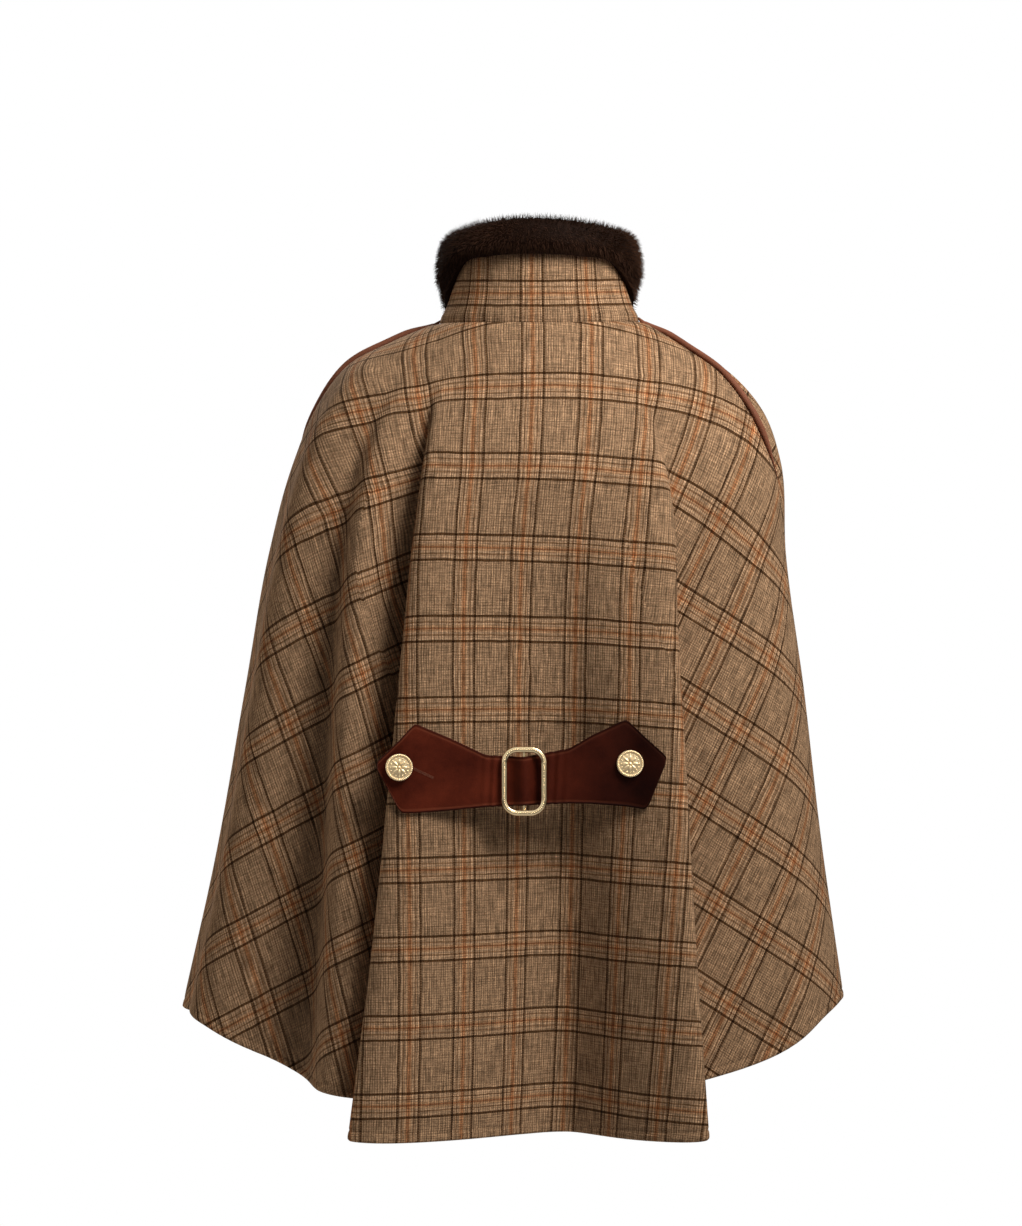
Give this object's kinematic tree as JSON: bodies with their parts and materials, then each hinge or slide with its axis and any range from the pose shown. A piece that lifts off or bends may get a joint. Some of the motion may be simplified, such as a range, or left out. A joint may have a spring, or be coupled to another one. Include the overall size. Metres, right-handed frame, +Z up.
{
  "type": "cape",
  "caption": "Flared hip-length tweed cape in its worn form, with a fur-faced stand collar, piped shoulder seams and a buttoned half belt with a slide buckle across the back.",
  "frame": {"origin": "middle of the neck opening, 10 mm below the neck seam at the centre back, where the wearer's neck and shoulders hold the cape up", "axes": "+Z up along the neck, -Y the way the wearer faces, so the back is at +Y, and +X to the wearer's left"},
  "size_m": [0.6359, 0.3655, 0.8616],
  "materials": {
    "tweed": "brushed wool tweed with a dark brown and rust overcheck",
    "fur": "short dense dark brown pile",
    "leather": "soft red-brown nappa with a low sheen",
    "gilt": "polished pale gold plating"
  },
  "bodies": {
    "root": {"cape_back": "tweed", "cape_front_left": "tweed", "cape_front_right": "tweed", "collar_stand": "tweed", "collar_fur": "fur", "piping_left": "leather", "piping_right": "leather", "half_belt": "leather", "belt_buckle": "gilt", "button_left": "gilt", "button_right": "gilt"}
  },
  "joints": []
}
